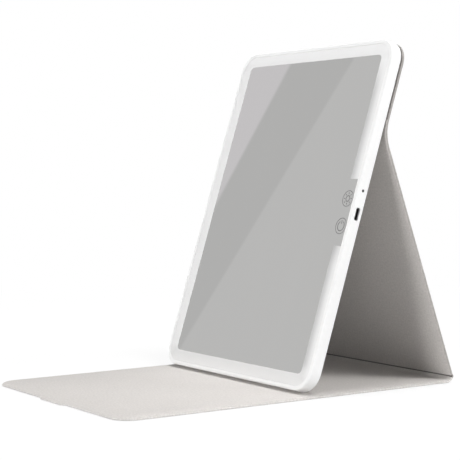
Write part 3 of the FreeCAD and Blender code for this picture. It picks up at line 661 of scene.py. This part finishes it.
class Panel:
    """One stiff panel of the cover, from its start to its end along Y, on one body."""

    # Side faces get painted shade: the darker edge cloth.
    edge_material = edge_cloth
    lining_material = lining_cloth

    def __init__(self, name, place, body, level, start, end, corner):
        self.name = name
        self.place = place
        self.body = body
        self.level = level
        self.start = start
        self.end = end
        self.corner = corner
        self.open_ends = (start,) if corner else (start, end)
        self.lining()
        self.skin()

    def blank(self, name):
        """The panel's outline, flat at height 0."""
        length = abs(self.end - self.start)
        return Bench(name, bpy.ops.mesh.primitive_plane_add, (COVER_WIDTH, length, 1), size=1,
                     location=(0, (self.start + self.end) / 2, 0))

    def shape_end(self, bench):
        """Round the corners at the far end, unless the cover runs on there."""
        if self.corner:
            bench.pick("verts", lambda vert: abs(vert.co.y - self.end) < NEAR)
            bpy.ops.mesh.bevel(offset=self.corner, segments=CORNER_STEPS, affect="VERTICES")

    def outline(self, bench, level):
        """Shape the blank's outline, and lift it to its height."""
        self.shape_end(bench)
        bpy.ops.mesh.select_all(action="SELECT")
        bench.move((0, 0, level))

    def lining(self):
        """The inner fabric."""
        bottom = self.level + BASE_THICK
        with self.blank(f"{self.name}_inner_cloth") as bench:
            self.outline(bench, bottom)
            bench.extrude((0, 0, LINING_THICK))
            bench.rim(bottom + LINING_THICK, self.open_ends)
            bpy.ops.mesh.bevel(offset=LINING_ROUND, segments=3)
        self.fit(bench.piece, self.lining_material, "lining_fabric", f"{self.name}_lining")

    def skin(self):
        """The outer fabric, hemmed up round the board."""
        with self.blank(f"{self.name}_outer_cloth") as bench:
            self.outline(bench, self.level)
            bench.extrude((0, 0, BASE_THICK))
            bench.pick("faces", lambda face: face.normal.z > FLAT)
            bpy.ops.mesh.inset(thickness=HEM_WIDTH)
            bench.extrude((0, 0, -BOARD_THICK))
            bench.rim(self.level, self.open_ends)
            bpy.ops.mesh.bevel(offset=SKIN_ROUND, segments=4)
        self.fit(bench.piece, skin_cloth, "cover_fabric", f"{self.name}_skin")

    def on_edge(self, face):
        return abs(face.normal.z) < UPRIGHT

    def along(self, point):
        return point.y

    def dress(self, piece, material, slot, nodes):
        """Paint a finished piece and put it on the panel's body."""
        paint(piece, [material, self.edge_material], self.on_edge)
        weave_map(piece, self.along)
        settle(piece, self.place)
        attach(piece, self.body)
        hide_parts(*nodes)

    def fit(self, piece, material, slot, *nodes):
        self.dress(piece, material, slot, nodes)


class GapShadedPanel(Panel):
    """A panel glued to the housing's back, whose lining has painted shade: a darker copy of the cloth,
    which shows as a strip in the gap beside the housing.
    """

    lining_material = glued_cloth


class Flap(Panel):
    """The front flap, pressed thin along its edges, with its pull tab and the spine at its rear."""

    # Painted light: the flap's edge faces get the lighter edge cloth.
    edge_material = sealed_edge

    def __init__(self, crease):
        self.crease = crease
        super().__init__("flap", FLAP_FRAME, "flap", 0.0, 2 * PRESS_WIDTH, -FLAP_LENGTH, FLAP_CORNER)

    def shape_end(self, bench):
        super().shape_end(bench)
        draw_tab(bench)

    def press(self, bench, level, on_edge):
        """Press the edges of the upper side down, and leave the middle at its height."""
        bench.pick("faces", lambda face: face.normal.z > FLAT
                   and face.calc_center_median().y > self.end)
        bpy.ops.mesh.inset(thickness=PRESS_WIDTH)
        bench.pick("verts", lambda vert: abs(vert.co.z - level) < NEAR and on_edge(vert))
        bench.move((0, 0, -PRESS_DEPTH))

    def square_off(self, bench):
        """Cut the rear end square where the spine starts."""
        bpy.ops.mesh.select_all(action="SELECT")
        bpy.ops.mesh.bisect(plane_co=(0, 0, 0), plane_no=(0, 1, 0), clear_outer=True, use_fill=True)

    def lining(self):
        bottom = self.level + BASE_THICK
        with self.blank("flap_inner_cloth") as bench:
            self.outline(bench, bottom)
            self.press(bench, bottom, lambda vert: vert.is_boundary)
            bpy.ops.mesh.select_all(action="SELECT")
            bench.extrude((0, 0, LINING_THICK))
            bench.rim(bottom + LINING_THICK - PRESS_DEPTH)
            bpy.ops.mesh.bevel(offset=LINING_ROUND, segments=3)
            self.square_off(bench)
            curl_spine(bench)
        self.fit(bench.piece, lining_cloth, "lining_fabric", [], "flap_lining")

    def skin(self):
        top = self.level + BASE_THICK
        with self.blank("flap_outer_cloth") as bench:
            self.outline(bench, self.level)
            bench.extrude((0, 0, BASE_THICK))
            self.press(bench, top, lambda vert: any(abs(face.normal.z) < NEAR
                                                    for face in vert.link_faces))
            bench.rim(self.level)
            bpy.ops.mesh.bevel(offset=PRESS_ROUND, segments=2)
            self.square_off(bench)
            bench.pick("faces", lambda face: face.normal.z > FLAT
                       and face.calc_center_median().z > top - NEAR)
            bpy.ops.mesh.inset(thickness=HEM_WIDTH - PRESS_WIDTH)
            bench.extrude((0, 0, -BOARD_THICK))
            curl_spine(bench)
        self.fit(bench.piece, skin_cloth, "cover_fabric", [self.crease], "flap_skin", "spine_core")

    def on_edge(self, face):
        in_front = face.center.y < 0
        return abs(face.normal.x) > OUTWARD or (in_front and face.normal.xy.length > OUTWARD)

    def along(self, point):
        """Distance along the flap and round its spine."""
        if point.y <= 0:
            return point.y
        return SPINE_RADIUS * math.atan2(point.y, COVER_THICK / 2 + SPINE_RADIUS - point.z)

    def fit(self, piece, material, slot, edges, *nodes):
        self.dress(piece, material, slot, nodes)


def bent_strip(name, start, top, rounding, sweep, along, inward, inner):
    """A strip of the cover with no board, swept round a bend, lining inside and skin outside."""
    bottom = -COVER_THICK / 2
    with Bench(name, bpy.ops.mesh.primitive_plane_add, (COVER_WIDTH, top - bottom, 1), size=1,
               rotation=(math.pi / 2, 0, 0)) as bench:
        bpy.ops.mesh.select_all(action="SELECT")
        bench.move((0, start, (top + bottom) / 2))
        for level, corner in ((bottom, rounding), (top, LINING_ROUND)):
            bench.pick("verts", lambda vert: abs(vert.co.z - level) < NEAR)
            bpy.ops.mesh.bevel(offset=corner, segments=4, affect="VERTICES")
        bench.pick("faces", lambda face: True)
        sweep(bench)

    def layer(face):
        if abs(face.normal.x) > SIDEWAYS:
            return 2
        return 0 if face.normal.dot(inward) > INWARD else 1

    weave_map(bench.piece, along)
    # Sides get painted shade: the darker edge cloth.
    paint(bench.piece, [inner, skin_cloth, edge_cloth], layer)
    return bench.piece


def crease_cloth():
    """The rear crease: the two fabrics alone, sharp inside and rolled round outside, with painted shade on
    its inside faces.
    """
    turn = STRUT_ANGLE - SPINE_ANGLE
    top = SKIN_THICK + LINING_THICK - COVER_THICK / 2
    reach = top * math.tan(turn / 2)
    straight = CREASE_GAP - reach
    spine_frame = tilted(CREASE, SPINE_ANGLE)

    def sweep(bench):
        bench.extrude((0, straight, 0))
        bench.swing(turn, (0, -reach, top))
        bench.extrude((0, straight * math.cos(turn), straight * math.sin(turn)))

    inward = Vector((0, -math.sin(turn / 2), math.cos(turn / 2)))
    piece = bent_strip("crease_cloth", -CREASE_GAP, top, PRESS_ROUND, sweep,
                       lambda point: point.y + point.z, inward, pressed_crease)
    settle(piece, spine_frame)
    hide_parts("rear_crease")
    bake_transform(piece)
    return piece


def bend_cloth():
    """The soft bend between the strut and the panel on the housing's back."""
    start = STRUT_LENGTH - FOLD_SETBACK

    def along(point):
        return start + BEND_RADIUS * math.atan2(point.y - start, point.z + BEND_RADIUS)

    def sweep(bench):
        bench.swing(-BEND_ANGLE, (0, start, -BEND_RADIUS))

    piece = bent_strip("bend_cloth", start, COVER_THICK / 2, SKIN_ROUND, sweep, along, Vector((0, 0, 1)),
                       lining_cloth)
    settle(piece, STRUT_FRAME)
    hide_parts("upper_fold")
    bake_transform(piece)


front_pane()
touch_signs()
Flap(crease_cloth())
Panel("strut", STRUT_FRAME, "strut", -COVER_THICK / 2, CREASE_GAP, STRUT_LENGTH - FOLD_SETBACK,
      corner=0.0)
GapShadedPanel("upper", MIRROR_FRAME, "mirror", -PANEL_GLUE - COVER_THICK, UPPER_START,
           UPPER_START + UPPER_LENGTH, COVER_CORNER)
bend_cloth()


# Studio

IMAGE_SIZE = 460
CAMERA_PLACE = Vector((0.867, -0.55217, 0.1598))
CAMERA_YAW = math.radians(57.19)
CAMERA_DIP = math.radians(2.84)
CAMERA_ROLL = math.radians(-0.58)
CAMERA_FOCUS = 114.1
SENSOR = 36.0

# The floor glows towards white, wholly so at the end of FLOOR_FADE, which holds squares of distances.
FLOOR_SIZE = 12.0
FLOOR_LEVEL = -0.0004
FLOOR_SEEN = (0.95, 0.95, 0.95, 1)
FLOOR_BOUNCED = (0.6, 0.6, 0.6, 1)
FLOOR_GLOW = 0.8
FLOOR_FADE = (0.04, 0.6)

SKY_LIGHT = 0.05
SKY_LOW = (0.5, 0.5, 0.5, 1)
SKY_HIGH = (0.95, 0.95, 0.95, 1)
SKY_FADE = (0.1, 0.9)
WHITE = (1, 1, 1, 1)

# Each light's place, the point it faces, its size and its power
LIGHTS = {
    "overhead_light": ((-0.2, 0.2, 4.6), (0, 0, 0.05), 2.4, 143.0),
    "side_light": ((2.4, 0.5, 4.0), (0, 0.05, 0.1), 1.2, 70.0),
    "rear_light": ((3.2, 2.8, 1.3), (0, 0.05, 0.1), 1.5, 90.0),
    "front_light": ((0.65, -4.2, 0.9), (0, 0, 0.1), 1.2, 87.0),
}

# The card's middle and edges are given as picture points (column, row); CARD_FAR lies past both edges.
CARD_DISTANCE = 1.5
CARD_SIZE = 2.4
CARD_SOFT = 0.006
CARD_CENTER = (262, 220)
CARD_FAR = (320, 340)
LIGHT_EDGE = ((282.2, 80), (218.3, 200))
DARK_EDGE = ((341, 80), (209, 300))
CARD_LIGHT = (0.63, 0.617, 0.632, 1)
CARD_DARK = (0.5, 0.5, 0.5, 1)
CARD_GREY = (0.555, 0.555, 0.555, 1)

AHEAD = Vector((-math.sin(CAMERA_YAW) * math.cos(CAMERA_DIP),
                math.cos(CAMERA_YAW) * math.cos(CAMERA_DIP),
                -math.sin(CAMERA_DIP)))
LEVEL = Vector((math.cos(CAMERA_YAW), math.sin(CAMERA_YAW), 0))
ABOVE = LEVEL.cross(AHEAD)
RIGHTWARD = LEVEL * math.cos(CAMERA_ROLL) + ABOVE * math.sin(CAMERA_ROLL)
UPWARD = ABOVE * math.cos(CAMERA_ROLL) - LEVEL * math.sin(CAMERA_ROLL)


def camera():
    """The photograph's view, from the right of the glass and a little above the table."""
    lens = bpy.data.cameras.new("camera")
    lens.lens = CAMERA_FOCUS
    lens.sensor_width = SENSOR
    holder = bpy.data.objects.new("camera", lens)
    bpy.context.scene.collection.objects.link(holder)
    holder.matrix_world = (Matrix.Translation(CAMERA_PLACE)
                           @ Matrix((RIGHTWARD, UPWARD, -AHEAD)).transposed().to_4x4())
    bpy.context.scene.camera = holder


def studio_floor():
    """A plain pale floor just under the cover, which shows as white but keeps some shadow."""
    bpy.ops.object.select_all(action="DESELECT")
    bpy.ops.mesh.primitive_plane_add(size=FLOOR_SIZE, location=(0, 0, FLOOR_LEVEL))
    floor = bpy.context.object
    floor.name = "floor"
    finish = Finish("floor", Roughness=0.9)
    path = finish.node("LightPath", out="Is Camera Ray")
    seen = path + path.beside("Is Glossy Ray")
    finish.drive(Base_Color=finish.mix(seen, FLOOR_BOUNCED, FLOOR_SEEN))
    across, along, _ = finish.axes(finish.place())
    away = (across * across + along * along).ramp(*FLOOR_FADE)
    glow = seen * (FLOOR_GLOW + away * (1 - FLOOR_GLOW))
    white = finish.node("Emission", sockets={"Color": WHITE, "Strength": 1.0})
    lit = Wire(finish, finish.shader.outputs[0])
    finish.show(finish.node("MixShader", sockets={0: glow, 1: lit, 2: white}))
    paint(floor, [finish.material])


def studio_world():
    """A pale surround: white to the camera, and greyer towards the ground in reflections."""
    world = bpy.data.worlds.new("studio")
    bpy.context.scene.world = world
    sky = Nodes(world, "World Output")
    _, _, height = sky.axes(sky.node("TexCoord", out="Generated"))
    path = sky.node("LightPath", out="Is Camera Ray")
    mirrored = path.beside("Is Glossy Ray")
    seen = path + path.beside("Is Transmission Ray")
    tone = sky.mix(height.ramp(*SKY_FADE), SKY_LOW, SKY_HIGH)
    even = sky.node("Background", sockets={"Color": WHITE, "Strength": SKY_LIGHT})
    reflected = sky.node("Background", sockets={"Color": tone, "Strength": 1.0})
    white = sky.node("Background", sockets={"Color": WHITE, "Strength": 1.0})
    unseen = sky.node("MixShader", sockets={0: mirrored, 1: even, 2: reflected})
    sky.show(sky.node("MixShader", sockets={0: seen, 1: unseen, 2: white}))


def soft_light(name, place, target, size, power):
    lamp = bpy.data.lights.new(name, "AREA")
    lamp.size = size
    lamp.energy = power
    holder = bpy.data.objects.new(name, lamp)
    bpy.context.scene.collection.objects.link(holder)
    holder.location = place
    holder.rotation_euler = (Vector(target) - Vector(place)).to_track_quat("-Z", "Y").to_euler()


def mirrored_ray(column, row):
    """Where a picture point meets the glass, and which way its reflection leaves."""
    focus = IMAGE_SIZE * CAMERA_FOCUS / SENSOR
    ray = AHEAD * focus + RIGHTWARD * (column - IMAGE_SIZE / 2) - UPWARD * (row - IMAGE_SIZE / 2)
    ray.normalize()
    face = PANE_FRAME @ Vector((0, 0, PANE_THICK))
    facing = PANE_FRAME.to_3x3() @ Vector((0, 0, 1))
    point = CAMERA_PLACE + ray * ((face - CAMERA_PLACE).dot(facing) / ray.dot(facing))
    return point, ray.reflect(facing)


def reflected_card():
    """A grey studio card that only the mirror sees, with a lighter corner and a darker band."""
    point, way = mirrored_ray(*CARD_CENTER)
    center = point + way * CARD_DISTANCE
    place = Matrix.Translation(center) @ way.to_track_quat("Z", "Y").to_matrix().to_4x4()

    def on_card(column, row):
        start, ray = mirrored_ray(column, row)
        return place.inverted() @ (start + ray * ((center - start).dot(way) / ray.dot(way)))

    bpy.ops.object.select_all(action="DESELECT")
    bpy.ops.mesh.primitive_plane_add(size=CARD_SIZE)
    card = bpy.context.object
    card.name = "card"
    card.matrix_world = place
    finish = Finish("card")
    across, up, _ = finish.axes(finish.place())

    def past(edge):
        """1 on the far side of a line through two picture points."""
        first, second = (on_card(*spot) for spot in edge)
        line = second - first
        normal = Vector((line.y, -line.x, 0)).normalized()
        if normal.dot(on_card(*CARD_FAR) - first) < 0:
            normal = -normal
        distance = across * normal.x + up * normal.y - normal.dot(first)
        return distance.ramp(-CARD_SOFT / 2, CARD_SOFT / 2)

    tone = finish.mix(past(LIGHT_EDGE), CARD_LIGHT, CARD_DARK)
    tone = finish.mix(past(DARK_EDGE), tone, CARD_GREY)
    finish.show(finish.node("Emission", sockets={"Color": tone, "Strength": 1.0}))
    paint(card, [finish.material])
    card.visible_camera = card.visible_diffuse = card.visible_shadow = card.visible_transmission = False


camera()
studio_floor()
studio_world()
reflected_card()
for light_name, settings in LIGHTS.items():
    soft_light(light_name, *settings)
bpy.context.scene.view_settings.view_transform = "Standard"
